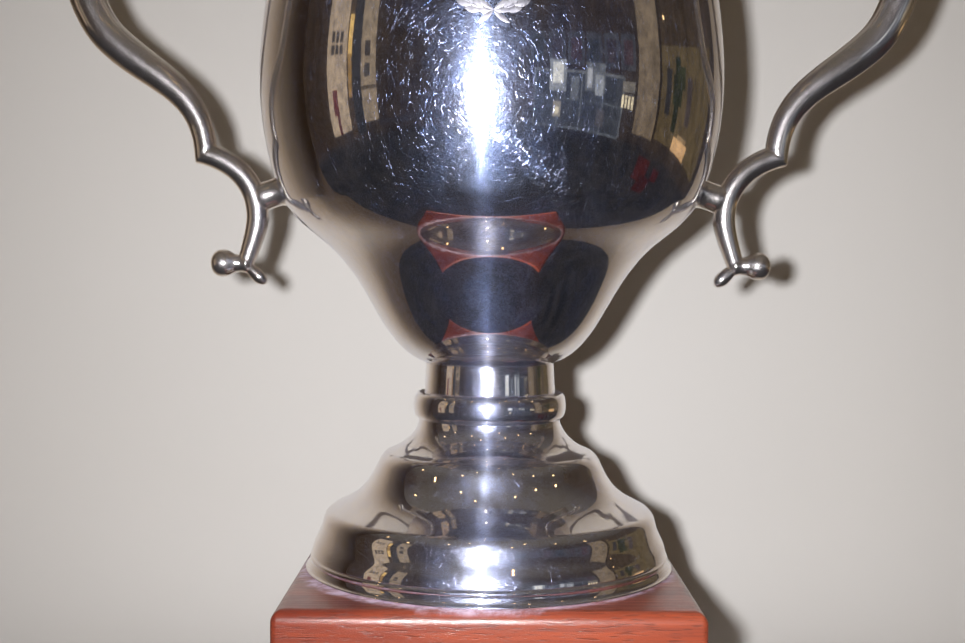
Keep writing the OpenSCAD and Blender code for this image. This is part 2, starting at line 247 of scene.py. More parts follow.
def silver(
    name, haze, glow, dull=0.0, scratch=0.0, mottle=0.5, radius=SHEET_RADIUS, wiped=False, shine=1.0,
):
    """Polished silver: a sharp mirror with a thin haze, fine scratches and hand-made waviness.

    haze is how much of the surface scatters widely and glow its colour. dull is added roughness,
    scratch the width of the scratches and radius, in metres, that of the piece they are laid out on.
    """
    material, g = new_material(name)
    place = g.place()
    patches = g.noise(place, 22, detail=4, roughness=0.6)
    smears = g.noise(g.mapping(place, scale=(1, 1, 0.35), turn=(0, 35, 0)), 70, detail=5, roughness=0.65)
    film = g.math("MULTIPLY", g.ramp(patches, 0.45, 0.72), g.ramp(smears, 0.4, 0.7))
    # a share of the surface, finer than the eye resolves, scatters light widely
    grit = g.ramp(g.noise(place, 16000, detail=0), 0.665 - 0.025 * haze, 0.705 - 0.025 * haze)
    grit = g.math("MULTIPLY", grit, g.ramp(smears, 0.2, 0.7, 0.6, 1.0))
    rough = g.math("ADD", 0.035 + dull, g.math("MULTIPLY", film, 0.03 + 0.6 * dull))
    rough = g.math("MAXIMUM", rough, g.math("MULTIPLY", grit, 0.42))
    normal = g.bump(g.noise(place, 45, detail=2), 0.00010 * mottle)
    normal = g.bump(g.noise(place, 260, detail=3), 0.00001 * mottle, normal)
    pale, cream = [c * shine for c in (0.90, 0.84, 0.74)], [c * shine for c in (0.86, 0.785, 0.67)]
    warm = g.mix(g.ramp(patches, 0.35, 0.75), (*pale, 1), (*cream, 1))
    colour = g.mix(g.math("MULTIPLY", film, 0.2), warm, (0.74, 0.75, 0.80, 1))
    colour = g.mix(grit, colour, (*glow, 1))
    values = {}
    if scratch:
        sheet = unrolled(g, place, radius)
        # turning marks run level and spread light up and down
        level = g.ramp(g.noise(g.mapping(place, move=(3, 1, 7)), 15000, detail=0), 0.69, 0.72)
        marks, bearing = level, 0.0
        rough = g.math("MAXIMUM", rough, g.math("MULTIPLY", level, 0.24))
        colour = g.mix(level, colour, (*glow, 1))
        # cell, width of a scratch, streak that it belongs to
        layers = [(0.0010, 0.000045, None), (0.0016, 0.000050, None), (0.0028, 0.000055, None)]
        layers += [(0.0008, 0.000120, streak) for streak in STREAKS if wiped]
        for seed, (cell, width, streak) in enumerate(layers, 1):
            headings = (streak[1] + 90, 70) if streak else (90, 180)
            cover, angle, chance = scratch_layer(g, sheet, cell, width * scratch, seed, *headings)
            if streak:
                cover = g.math("MULTIPLY", cover, wiped_streak(g, sheet, *streak))
            else:
                cover = g.math("MULTIPLY", cover, g.ramp(smears, 0.25, 0.6, 0.3, 1.0))
            bearing = g.mix_value(g.math("GREATER_THAN", cover, 0.05), bearing, angle)
            shade = g.mix(chance, (0.16, 0.27, 0.64, 1), (0.56, 0.58, 0.88, 1))
            colour = g.mix(cover, colour, shade)
            marks = g.math("MAXIMUM", marks, cover)
            rough = g.math("MAXIMUM", rough, g.math("MULTIPLY", cover, 0.33 if streak else 0.29))
        # a scratch spreads light across its own heading
        values["Anisotropic"] = g.math("MAXIMUM", 0.55, g.math("GREATER_THAN", marks, 0.05))
        values["Anisotropic_Rotation"] = g.math("DIVIDE", g.math("ADD", bearing, math.pi / 2), 2 * math.pi)
        values["Tangent"] = g.add("ShaderNodeTangent", direction_type="RADIAL", axis="Z").outputs[0]
    g.principled(Base_Color=colour, Metallic=1.0, Roughness=rough, Normal=normal, **values)
    return material


def engraved(name):
    """Chased silver: greyer and rougher than the polish around it, with fine hatching."""
    material, g = new_material(name)
    place = g.place()
    hatch = g.noise(g.mapping(place, scale=(2600, 2600, 500), turn=(0, 40, 0)), 1.0, detail=2)
    worn = g.noise(place, 180, detail=3)
    shade = g.mix(g.ramp(worn, 0.3, 0.7), (0.50, 0.48, 0.53, 1), (0.30, 0.29, 0.34, 1))
    g.principled(
        Base_Color=shade, Metallic=1.0, Roughness=g.ramp(hatch, 0.3, 0.7, 0.34, 0.58),
        Normal=g.bump(hatch, 0.00002),
    )
    return material


def mahogany(name, along, residue=False):
    """Varnished red-brown mahogany: ribbon figure, short dark pores and a deep gloss coat."""
    material, g = new_material(name)
    place = g.place()
    # known fault: a mapping scales before it turns, so the figure runs along X for "Y" too, and
    # the left and right sides of the plinth show it end on
    turn = (0, 0, 90) if along == "Y" else (0, 0, 0)
    ribbon = g.mapping(place, scale=(4, 34, 34), turn=turn)
    figure = g.noise(ribbon, 1.0, detail=5, roughness=0.6, distortion=0.6)
    streaks = g.noise(g.mapping(place, scale=(14, 460, 460), turn=turn), 1.0, detail=4, roughness=0.7)
    pores = g.ramp(g.noise(g.mapping(place, scale=(110, 1500, 1500), turn=turn), 1.0, detail=2), 0.56, 0.66)
    wood = g.mix(g.ramp(figure, 0.3, 0.7), (0.12, 0.017, 0.009, 1), (0.30, 0.060, 0.027, 1))
    wood = g.mix(g.math("MULTIPLY", g.ramp(streaks, 0.38, 0.66), 0.45), wood, (0.10, 0.016, 0.010, 1))
    wood = g.mix(g.math("MULTIPLY", pores, 0.45), wood, (0.035, 0.009, 0.006, 1))
    rough = g.ramp(streaks, 0.2, 0.8, 0.26, 0.45)
    height = g.math("MULTIPLY", pores, -1.0)
    cover = 0.0
    if residue:
        cover = polish_residue(g, place)
        wood = g.mix(cover, wood, (0.62, 0.50, 0.64, 1))
        rough = g.math("ADD", rough, g.math("MULTIPLY", cover, 0.4))
        height = g.math("ADD", height, g.math("MULTIPLY", cover, 1.5))
    # the varnish follows the open grain a little, which breaks its shine into specks
    peel = g.bump(g.noise(place, 340, detail=1), 0.00001)
    specks = g.noise(g.mapping(place, scale=(900, 2200, 2200), turn=turn), 1.0, detail=3, roughness=0.7)
    skin = g.bump(specks, 0.00010, g.bump(height, 0.00002, peel))
    g.principled(
        Base_Color=wood, Roughness=rough, Normal=g.bump(height, 0.00003, skin), Specular_IOR_Level=0.35,
        Coat_Weight=g.math("SUBTRACT", 0.6, g.math("MULTIPLY", cover, 0.5)),
        Coat_Roughness=g.ramp(streaks, 0.3, 0.7, 0.10, 0.18), Coat_IOR=1.5, Coat_Normal=skin,
    )
    return material


def polish_residue(g, place):
    """Dried polish left on the board around the foot: a broken ring that thins outwards."""
    axis = g.add("ShaderNodeSeparateXYZ")
    g.set(axis.inputs[0], place)
    x, y = axis.outputs[0], axis.outputs[1]
    radius = g.math("SQRT", g.math("ADD", g.math("MULTIPLY", x, x), g.math("MULTIPLY", y, y)))
    torn = g.noise(place, 160, detail=5, roughness=0.7)
    wisps = g.noise(place, 38, detail=3, roughness=0.6)
    left = g.ramp(x, -0.06, 0.05, 1.0, 0.35)
    reach = g.math("ADD", 0.0870, g.math("MULTIPLY", g.math("MULTIPLY", wisps, left), 0.011))
    edge = g.math("SUBTRACT", reach, radius)
    ragged = g.math("MULTIPLY", g.math("SUBTRACT", torn, 0.5), 0.008)
    ring = g.ramp(g.math("ADD", edge, ragged), -0.002, 0.005)
    on_top = g.ramp(axis.outputs[2], BOARD_TOP - 0.003, BOARD_TOP - 0.0005)
    ring = g.math("MULTIPLY", ring, on_top)
    return g.math("MULTIPLY", ring, g.ramp(torn, 0.35, 0.6, 0.3, 0.85), clamp=True)


def plain_metal(name, colour, roughness):
    """Machined metal with fine turning marks and dulled patches."""
    material, g = new_material(name)
    place = g.place()
    marks = g.noise(g.mapping(place, scale=(1, 1, 6)), 900, detail=3)
    dull = g.noise(place, 90, detail=3)
    worn = g.ramp(dull, 0.3, 0.7, roughness, roughness + 0.15)
    rough = g.math("ADD", worn, g.math("MULTIPLY", marks, 0.08))
    shade = g.mix(g.ramp(dull, 0.3, 0.8), (*colour, 1), (*[c * 0.75 for c in colour], 1))
    g.principled(Base_Color=shade, Metallic=1.0, Roughness=rough, Normal=g.bump(marks, 0.00001))
    return material


def sawn_wood(name):
    material, g = new_material(name)
    place = g.place()
    grain = g.noise(g.mapping(place, scale=(300, 300, 16)), 1.0, detail=5, roughness=0.65)
    saw = g.noise(g.mapping(place, scale=(40, 40, 900)), 1.0, detail=2)
    wood = g.mix(g.ramp(grain, 0.3, 0.7), (0.44, 0.27, 0.13, 1), (0.62, 0.43, 0.24, 1))
    g.principled(Base_Color=wood, Roughness=g.ramp(saw, 0.2, 0.8, 0.6, 0.8), Normal=g.bump(saw, 0.0001))
    return material


def baize(name):
    material, g = new_material(name)
    place = g.place()
    fibres = g.noise(place, 2200, detail=4, roughness=0.7)
    worn = g.noise(place, 60, detail=3)
    green = g.mix(fibres, (0.012, 0.07, 0.03, 1), (0.05, 0.19, 0.08, 1))
    green = g.mix(g.math("MULTIPLY", g.ramp(worn, 0.5, 0.8), 0.4), green, (0.09, 0.2, 0.11, 1))
    g.principled(
        Base_Color=green, Roughness=g.ramp(fibres, 0.2, 0.8, 0.85, 0.98),
        Normal=g.bump(fibres, 0.0003), Sheen_Weight=0.4,
    )
    return material


# ---- curves ------------------------------------------------------------
# A curve is a list of knots: (across, along, heading in degrees, reach back, reach ahead).

def heading(angle):
    return Vector((math.cos(math.radians(angle)), math.sin(math.radians(angle))))


def on_curve(knots, u):
    i = min(int(u), len(knots) - 2)
    a, b, t = knots[i], knots[i + 1], u - i
    start, end = Vector(a[:2]), Vector(b[:2])
    c1, c2 = start + a[4] * heading(a[2]), end - b[3] * heading(b[2])
    s = 1 - t
    return s**3 * start + 3 * s * s * t * c1 + 3 * s * t * t * c2 + t**3 * end


def curve(knots, steps):
    return [on_curve(knots, i / steps) for i in range((len(knots) - 1) * steps + 1)]


def direction(knots, u):
    last, step = len(knots) - 1, 0.004
    return (on_curve(knots, min(u + step, last)) - on_curve(knots, max(u - step, 0))).normalized()


def beside(knots, steps, distance):
    """The curve moved sideways, to the left of its run."""
    points = []
    for i in range((len(knots) - 1) * steps + 1):
        ahead = direction(knots, i / steps)
        points.append(on_curve(knots, i / steps) + distance * Vector((-ahead.y, ahead.x)))
    return points


def arc(centre, radius, start, end, steps):
    return [
        Vector(centre) + radius * heading(start + (end - start) * i / steps) for i in range(steps + 1)
    ]


# ---- meshes ------------------------------------------------------------

def finish_mesh(name, points, faces, material, sharp):
    """sharp is the least angle in degrees at which an edge stays crisp."""
    mesh = bpy.data.meshes.new(name)
    mesh.from_pydata(points, [], faces)
    mesh.validate()
    mesh.materials.append(material)
    piece = bpy.data.objects.new(name, mesh)
    bpy.context.scene.collection.objects.link(piece)
    outward(mesh)
    mesh.shade_smooth()
    if sharp < 180:
        mesh.set_sharp_from_angle(angle=math.radians(sharp))
    return piece


def outward(mesh):
    bm = bmesh.new()
    bm.from_mesh(mesh)
    bmesh.ops.recalc_face_normals(bm, faces=bm.faces)
    bm.to_mesh(mesh)
    bm.free()


def declare(piece, slot, *nodes):
    """Says what a piece rides on and which CAD nodes it stands in for. slot, its material slot, is not
    used.
    """
    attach(piece, BODY)
    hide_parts(*nodes)


def turned(name, outline, material, segments, sharp=38, place=None):
    """A closed solid turned about Z from a closed outline of (radius, height) points in millimetres."""
    place = place or Matrix.Translation((0, 0, BOARD_TOP))
    points, rings = [], []
    for r, z in outline:
        if r < 1e-6:
            rings.append([len(points)] * segments)
            points.append(place @ Vector((0, 0, z * MM)))
            continue
        rings.append(range(len(points), len(points) + segments))
        for k in range(segments):
            a = 2 * math.pi * k / segments
            points.append(place @ Vector((r * MM * math.cos(a), r * MM * math.sin(a), z * MM)))
    faces = []
    for low, high in zip(rings, [*rings[1:], rings[0]]):
        for k in range(segments):
            n = (k + 1) % segments
            face = list(dict.fromkeys((low[k], low[n], high[n], high[k])))
            if len(face) > 2:
                faces.append(face)
    return finish_mesh(name, points, faces, material, sharp)


def swept(name, knots, radii, side, cuts, material, wobble=0.05):
    """A tube along a path in the XZ plane. cuts are the headings of its two end planes.

    radii has one for each knot. Lengths are in millimetres, and wobble is how far the cast
    surface wanders.
    """
    steps, sides = 60, 56
    seam_depth, seam_reach = 0.30, 0.6
    last = (len(knots) - 1) * steps
    points = []
    for i in range(last + 1):
        u = i / steps
        if i in (0, last):
            ahead = heading(knots[0 if i == 0 else -1][2])
        else:
            ahead = direction(knots, u)
        aside = Vector((-ahead.y, ahead.x))
        k = min(int(u), len(radii) - 2)
        t = u - k
        radius = radii[k] + (radii[k + 1] - radii[k]) * t * t * (3 - 2 * t)
        centre = on_curve(knots, u)
        # the end cuts fade out over 1.6 tube radii, so that the rings don't cross
        slant = 0.0
        for cut, end_knot in zip(cuts, (knots[0], knots[-1])):
            gap = (centre - Vector(end_knot[:2])).length
            fade = max(0.0, 1 - gap / (1.6 * radius))
            slant += fade / math.tan(math.radians(cut - end_knot[2]))
        for end_knot in (knots[0], knots[-1]):
            gap = (centre - Vector(end_knot[:2])).length
            radius -= seam_depth * max(0.0, 1 - gap / seam_reach)
        for j in range(sides):
            a = 2 * math.pi * j / sides
            w = radius * math.cos(a)
            at = centre + w * (aside + slant * ahead)
            # 40 mm apart in the noise, so that the two handles differ
            sample = Vector((at.x, radius * math.sin(a), at.y + 40 * side)) * 0.16
            bumpy = 1 + wobble / radius * noise.noise(sample)
            spread = centre + (at - centre) * bumpy
            points.append(
                Vector((side * spread.x * MM, radius * bumpy * math.sin(a) * MM, BOARD_TOP + spread.y * MM))
            )
    faces = [list(range(sides)), list(range(last * sides, (last + 1) * sides))]
    for i in range(last):
        for j in range(sides):
            n = (j + 1) % sides
            faces.append((i * sides + j, i * sides + n, (i + 1) * sides + n, (i + 1) * sides + j))
    return finish_mesh(name, points, faces, material, 50)


def along(start, angle, side):
    """Stands a turned piece on a point of the XZ plane, with its axis at a heading."""
    flip = Matrix.Diagonal((side, 1, 1, 1))
    at = Matrix.Translation((start[0] * MM, 0, BOARD_TOP + start[1] * MM))
    return flip @ at @ Matrix.Rotation(math.radians(90 - angle), 4, "Y")


# ---- the cup -----------------------------------------------------------

SHELL = 1.2  # thickness of the sheet silver
BOWL = [
    (31.0, 96.9, 21, 0, 16),
    (60.4, 131.7, 58.6, 16, 30),
    (96.7, 171.1, 54, 22, 3),
    (108.4, 228.6, 90, 32, 33),
    (99.0, 318, 90, 25, 13),
    (108.6, 351, 62, 14, 0),
]
FOOT = [
    (33.5, 70, -86, 0, 5),
    (48.0, 54.8, -19, 9, 1),
    (53.3, 48.6, -66, 5, 12),
    (74.5, 28.0, -25, 13, 1),
    (79.2, 21.5, -78, 5, 7),
    (84.1, 7.5, -83, 6, 0),
]
BEAD = [(33.1, 82.9, 0, 0, 2), (36.3, 76.6, -90, 3.6, 3.4), (33.4, 70, -160, 2.5, 0)]
MITRE = (135.3, 195)
UPPER = [
    (*MITRE, 86.2, 0, 32),
    (180.7, 249.8, 45, 28, 14),
    (197.0, 298.5, 90, 17, 24),
    (160.0, 345.0, 180, 22, 19),
    (104.5, 325.0, 204, 17, 0),
]
UPPER_RADII = (5.5, 8.1, 8.4, 7.4, 6.0)
ELBOW = (116.9, 143.2)
LOWER = [(*MITRE, 195.7, 0, 15), (110.9, 165.1, -90, 16, 5), (*ELBOW, -69.5, 7, 0)]
LOWER_RADII = (5.5, 5.3, 4.2)
# the planes of the two mitres halve the turn between the headings that meet there
MITRE_CUT = (86.2 + 195.7) / 2
ELBOW_CUT = (180 - 69.5) / 2
# where the strut leaves the lower scroll for the bowl, and its heading
STRUT, STRUT_WAY = (109.5, 174.4), 161.5


def make_bowl(material):
    outer = curve(BOWL, 40)
    inner = beside(BOWL, 40, SHELL)
    bottom = BOWL[0][1]
    outline = [(0, bottom), *outer, *reversed(inner), (0, bottom + SHELL)]
    bowl = turned("bowl", outline, material, 384, 60)
    declare(bowl, "silver_bowl", "bowl_shell")
    lip = Vector(BOWL[-1][:2]) + Vector((-SHELL / 2, 1))
    wire_radius, sides = 2.4, 28
    section = arc(lip, wire_radius, 0, 360 - 360 / sides, sides - 1)
    wire = turned("lip_wire", section, material, 384, 180)
    declare(wire, "silver_bowl", "bowl_rim_wire")


def bowl_radius(z):
    """Outside radius of the bowl at a height, in millimetres."""
    outer = curve(BOWL, 40)
    for low, high in zip(outer, outer[1:]):
        if low.y <= z <= high.y:
            return low.x + (high.x - low.x) * (z - low.y) / (high.y - low.y)
    raise ValueError("height off the bowl")


def on_bowl(p, lift):
    """A point drawn on the front of the bowl, p being (distance round, height) in millimetres."""
    radius = bowl_radius(p.y)
    angle = p.x / radius
    return Vector(((radius + lift) * math.sin(angle) * MM, -(radius + lift) * math.cos(angle) * MM,
                   BOARD_TOP + p.y * MM))


def raised_shape(rim, spine, points, faces):
    """A shallow chased shape: its rim stands just clear of the bowl and its spine a little higher."""
    lift, crown, depth = 0.05, 0.16, 0.4
    first, n, m = len(points), len(rim), len(spine)
    points += [on_bowl(p, lift) for p in rim] + [on_bowl(p, -depth) for p in rim]
    points += [on_bowl(p, crown) for p in spine]
    faces += [(first + i, first + (i + 1) % n, first + n + (i + 1) % n, first + n + i) for i in range(n)]
    faces.append([first + n + i for i in range(n)])
    # rim points run root to tip on one side and back on the other, the spine root to tip
    top = first + 2 * n
    half = n // 2
    for i in range(half):
        k, nk = min(i, m - 1), min(i + 1, m - 1)
        faces.append([first + i, first + i + 1, *dict.fromkeys((top + nk, top + k))])
        back, next_back = first + (n - i) % n, first + n - i - 1
        faces.append([back, next_back, *dict.fromkeys((top + nk, top + k))])


def sprig_leaf(root, turn, length, width, points, faces, bend):
    steps = 7
    line, left, right = [], [], []
    for i in range(steps + 1):
        t = i / steps
        ahead, aside = heading(turn + bend * t), heading(turn + 90 + bend * t)
        centre = root + length * t * ahead
        half = width / 2 * math.sin(math.pi * t) ** 0.8 if 0 < t < 1 else 0
        line.append(centre)
        left.append(centre + half * aside)
        right.append(centre - half * aside)
    rim = left + list(reversed(right[1:-1]))
    raised_shape(rim, line[1:-1], points, faces)


def make_wreath(material):
    """Two sprigs of leaves tied with a bow, chased on the front of the bowl."""
    centre, radius = Vector((0, 258.5)), 16.5
    points, faces = [], []
    for side in (-1, 1):
        for i in range(10):
            a = -90 + side * (14 + 15 * i)
            root = centre + radius * heading(a)
            way = a + side * 90
            size = 1 - 0.045 * i
            sprig_leaf(root, way + 26, 7.4 * size, 2.9 * size, points, faces, bend=side * 14)
            sprig_leaf(root, way - 26, 7.4 * size, 2.9 * size, points, faces, bend=side * 14)
            sprig_leaf(root, way, 7.0 * size, 1.0 * size, points, faces, bend=side * 12)
        knot = centre + Vector((0, -radius))
        for turn, length in ((28, 7.8), (-8, 7.4), (-48, 8.4)):
            way = turn if side > 0 else 180 - turn
            sprig_leaf(knot, way, length, 2.2, points, faces, bend=side * 10)
    wreath = finish_mesh("wreath", points, faces, material, 30)
    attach(wreath, BODY)


def make_stem(material):
    bore, low, high = 27.5, 82.9, 96.9
    collar = [
        (bore, low), (30.9, low), (31.15, 83.2), (31.1, 84.2), (30.7, 90),
        *arc((29.7, 96.2), 0.7, 10, 90, 6), (bore, high),
    ]
    declare(turned("collar", collar, material, 192), "silver_foot", "stem_collar")
    bead = [(27, 82.9), *curve(BEAD, 16), (27, 70)]
    declare(turned("bead", bead, material, 192, 60), "silver_foot", "knop_bead")
    outer = curve(FOOT, 24)
    # the foot is closed at the top by a disc with a hole for the tie rod
    hole, top, under = 4.05, 70, 68.4
    inner = [p for p in beside(FOOT, 24, -SHELL) if p.y < under]
    foot = [(hole, top), *outer, *reversed(inner), (inner[0].x, under), (hole, under)]
    declare(turned("foot", foot, material, 320, 60), "silver_foot", "foot_shell")
    bore, high = 81.1, 7.5
    flange = [
        (bore, 0), (86.6, 0), *arc((86.4, 0.6), 0.6, -60, 80, 6), (85.9, 1.5), (85.4, 2.6), (84.95, 3.6),
        *arc((83.7, 5.6), 1.25, -40, 70, 8), (83.9, 7.2), (83.6, high), (bore, high),
    ]
    declare(turned("flange", flange, material, 320, 60), "silver_foot", "foot_flange")


def make_handle(name, side, material):
    """side is 1 for the handle on the right and -1 for the one on the left."""
    tip, tip_way = UPPER[-1][:2], UPPER[-1][2]
    cuts = (MITRE_CUT, tip_way + 90)
    upper = swept(f"grip_{name}", UPPER, UPPER_RADII, side, cuts, material)
    declare(upper, "silver_handle", f"upper_scroll_{name}")
    cuts = (MITRE_CUT, ELBOW_CUT)
    lower = swept(f"scroll_{name}", LOWER, LOWER_RADII, side, cuts, material, wobble=0.04)
    declare(lower, "silver_handle", f"lower_scroll_{name}")
    drop = [
        (4.8, -0.6, 112, 0, 3), (4.4, 4.2, 84, 2, 2), (6.5, 10.6, 90, 3.4, 3.4), (0.0, 16.2, 180, 3.8, 0),
    ]
    outline = [(0, -2.2), (3.6, -2.2), (4.5, -1.6), *curve(drop, 16)[:-1], (0, 16.2)]
    piece = turned(f"teardrop_{name}", outline, material, 64, 60, along(ELBOW, 0, side))
    declare(piece, "silver_handle", f"drop_{name}")
    leaf = [(2.0, 1.6, 64, 0, 2), (3.2, 8.6, 88, 3, 2.4), (0.0, 13.8, 180, 1.7, 0)]
    outline = [(0, 1.6), *curve(leaf, 16)[:-1], (0, 13.8)]
    piece = turned(f"bud_{name}", outline, material, 48, 60, along(ELBOW, 224, side))
    declare(piece, "silver_handle", f"leaf_{name}")
    strut = [
        (0, 0), (6.6, 0), (6.9, 0.6), (6.7, 3.2), (6.6, 6), (6.75, 8.6), (7.3, 10.4), (8.0, 11.6),
        (0, 11.6),
    ]
    piece = turned(f"stay_{name}", strut, material, 96, 40, along(STRUT, STRUT_WAY, side))
    declare(piece, "silver_handle", f"strut_{name}")
    seat = [
        (0, 0), (6.2, 0), (6.3, 0.8), (7.0, 1.6), (8.6, 2.2), *arc((9.8, 3.3), 1.1, -60, 60, 8),
        (10.8, 5.2), (10.9, 7.6), (0, 7.6),
    ]
    piece = turned(f"seat_{name}", seat, material, 96, 40, along(tip, tip_way, side))
    declare(piece, "silver_handle", f"mount_{name}")


# ---- the plinth --------------------------------------------------------

def rounded_square(half, radius, z):
    ring, steps = [], 6
    centre = Vector((half - radius, half - radius))
    for quarter in range(4):
        turn = Matrix.Rotation(math.radians(90 * quarter), 2)
        for i in range(steps + 1):
            p = turn @ (centre + radius * heading(90 * i / steps))
            ring.append(Vector((p.x, p.y, z)))
    return ring


def lofted(name, rings, material, sharp):
    """A closed solid over a stack of rings with equal counts of points, in metres."""
    count = len(rings[0])
    points = [p for ring in rings for p in ring]
    faces = [list(range(count)), list(range(len(points) - count, len(points)))]
    for i in range(len(rings) - 1):
        for j in range(count):
            n = (j + 1) % count
            faces.append((i * count + j, i * count + n, (i + 1) * count + n, (i + 1) * count + j))
    return finish_mesh(name, points, faces, material, sharp)


def make_board(material):
    half, edge, corner, foot_edge = BOARD_HIGH.x, 5.5 * MM, 3 * MM, 1.2 * MM
    rings = []
    for i in range(5):
        a = math.radians(90 - 90 * i / 4)
        inset = foot_edge * (1 - math.cos(a))
        rings.append(rounded_square(half - inset, corner, BOARD_LOW.z + foot_edge * (1 - math.sin(a))))
    for i in range(13):
        a = math.radians(90 * i / 12)
        inset = edge * (1 - math.cos(a))
        z = BOARD_TOP - edge + edge * math.sin(a)
        rings.append(rounded_square(half - inset, max(corner - inset, 0.5 * MM), z))
    declare(lofted("board", rings, material, 30), "mahogany", "plinth_board")


def mitred(name, outline, low_z, turn, material):
    """A strip on one side of the plinth. outline is (distance from the axis, height) in metres."""
    spin = Matrix.Rotation(math.radians(turn), 4, "Z")
    hair = 0.00004  # each end stops this far short of its mitre
    points = []
    for end in (-1, 1):
        for d, z in outline:
            points.append(spin @ Vector((end * (d - hair), -d, low_z + z)))
    n = len(outline)
    faces = [list(range(n)), list(range(n, 2 * n))]
    faces += [(i, (i + 1) % n, n + (i + 1) % n, n + i) for i in range(n)]
    return finish_mesh(name, points, faces, material, 30)


def make_sides(woods):
    for name, turn in (("front", 0), ("right", 90), ("back", 180), ("left", 270)):
        low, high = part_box(f"panel_{name}")
        reach = max(-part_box("panel_front")[0].y, 0)
        inner = -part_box("panel_front")[1].y
        outline = [(inner, 0), (reach, 0), (reach, high.z - low.z), (inner, high.z - low.z)]
        wood = woods["X" if turn % 180 == 0 else "Y"]
        declare(mitred(f"side_{name}", outline, low.z, turn, wood), "mahogany", f"panel_{name}")
        base_low, base_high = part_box(f"skirting_{name}")
        h = base_high.z - base_low.z
        out = -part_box("skirting_front")[0].y
        d = out - reach
        fascia, bead, top, ease = 0.55 * h, 2 * MM, 2 * MM, 0.6 * MM
        cove = d - top - bead
        moulding = [(reach, 0), (out - ease, 0), (out, ease), (out, fascia)]
        moulding += [(p.x, p.y) for p in arc((out - bead, fascia + bead), bead, -90, 90, 10)]
        moulding += [
            (p.x, p.y) for p in arc((reach + top + cove, fascia + 2 * bead + cove), cove, 270, 180, 10)
        ]
        moulding += [(reach + top, h - ease), (reach + top - ease, h), (reach, h)]
        declare(mitred(f"base_{name}", moulding, base_low.z, turn, wood), "mahogany", f"skirting_{name}")


def make_nameplate(material):
    low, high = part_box("nameplate")
    centre, half = (low + high) / 2, (high - low) / 2
    rings = []
    chamfer, corner = 0.5 * MM, 3 * MM
    for y, inset in ((high.y, 0), (low.y + chamfer, 0), (low.y, chamfer)):
        ring = []
        for sx, sz, start in ((1, 1, 0), (-1, 1, 90), (-1, -1, 180), (1, -1, 270)):
            cx, cz = sx * (half.x - corner), sz * (half.z - corner)
            for i in range(7):
                p = Vector((cx, cz)) + (corner - inset) * heading(start + 15 * i)
                ring.append(Vector((centre.x + p.x, y, centre.z + p.y)))
        rings.append(ring)
    declare(lofted("plate", rings, material, 25), "silver_plate", "nameplate")


# ---- studio ------------------------------------------------------------

def stage_mesh(name, points, faces, material):
    mesh = bpy.data.meshes.new(name)
    mesh.from_pydata(points, [], faces)
    mesh.materials.append(material)
    piece = bpy.data.objects.new(name, mesh)
    bpy.context.scene.collection.objects.link(piece)
    return piece


def paper(name, colour):
    material, g = new_material(name)
    tone = g.noise(g.place(), 3, detail=2)
    shade = g.mix(g.ramp(tone, 0.3, 0.7), (*colour, 1), (*[c * 0.96 for c in colour], 1))
    g.principled(Base_Color=shade, Roughness=0.9, Specular_IOR_Level=0.1)
    return material, g


def one_sided(material):
    """Lets everything through that reaches the paper from behind."""
    tree = material.node_tree
    out = next(n for n in tree.nodes if n.type == "OUTPUT_MATERIAL")
    shader = next(n for n in tree.nodes if n.type == "BSDF_PRINCIPLED")
    mix = tree.nodes.new("ShaderNodeMixShader")
    back = tree.nodes.new("ShaderNodeNewGeometry").outputs["Backfacing"]
    tree.links.new(back, mix.inputs[0])
    tree.links.new(shader.outputs[0], mix.inputs[1])
    tree.links.new(tree.nodes.new("ShaderNodeBsdfTransparent").outputs[0], mix.inputs[2])
    tree.links.new(mix.outputs[0], out.inputs[0])


WALL_Y = 0.20  # the wall stands this far behind the cup's axis


